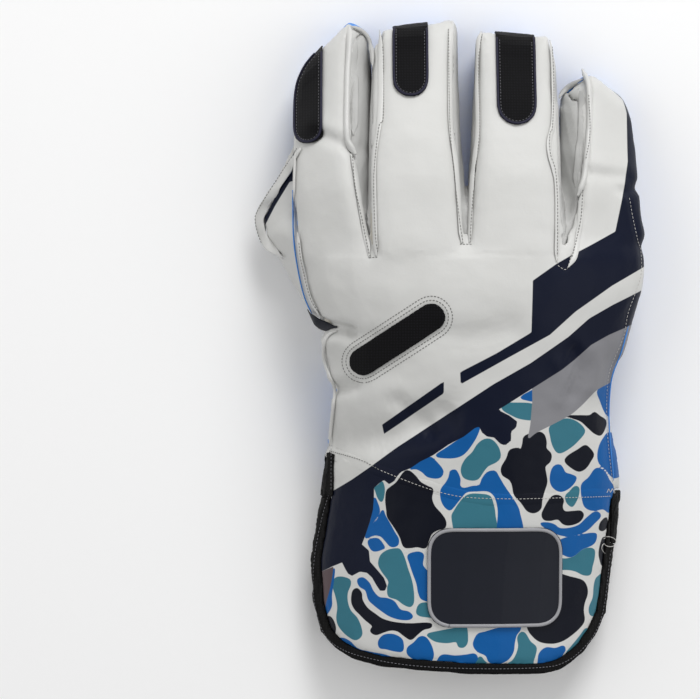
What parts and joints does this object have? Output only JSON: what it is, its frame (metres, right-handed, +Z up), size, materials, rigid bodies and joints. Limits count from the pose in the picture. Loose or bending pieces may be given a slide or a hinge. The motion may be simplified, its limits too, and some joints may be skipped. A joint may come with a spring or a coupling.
{
  "type": "wicketkeeping glove",
  "caption": "Padded leather wicketkeeping glove for the right hand, lying palm down, with a rubber palm, a webbed thumb and a wide printed cuff.",
  "frame": {"origin": "middle of the overall size in plan, on the surface that the glove rests on", "axes": "+X from the thumb to the little finger, +Y from the cuff to the fingertips, +Z up through the back of the hand"},
  "size_m": [0.1958, 0.3298, 0.0718],
  "materials": {
    "white_leather": "smooth coated leather with a fine grain",
    "grey_leather": "thin pale grey leather of the finger walls",
    "palm_rubber": "satin blue rubber with small raised pimples",
    "printed_leather": "white coated leather with a blue, teal and navy camouflage print",
    "binding": "black woven binding tape",
    "netting": "near-black woven mesh",
    "dark_patch": "moulded navy patch with a pale rim"
  },
  "bodies": {
    "root": {"back_panel": "white_leather", "index_middle_gusset": "grey_leather", "middle_ring_gusset": "grey_leather", "ring_little_gusset": "grey_leather", "thumb_back": "white_leather", "web_hem": "white_leather", "palm": "palm_rubber", "cuff_back": "printed_leather", "cuff_palm": "white_leather", "cuff_back_binding": "binding", "cuff_palm_binding": "binding", "side_tape_left": "binding", "side_tape_right": "binding", "index_tip_patch": "netting", "middle_tip_patch": "netting", "ring_tip_patch": "netting", "back_inlay": "netting", "cuff_patch": "dark_patch"}
  },
  "joints": []
}
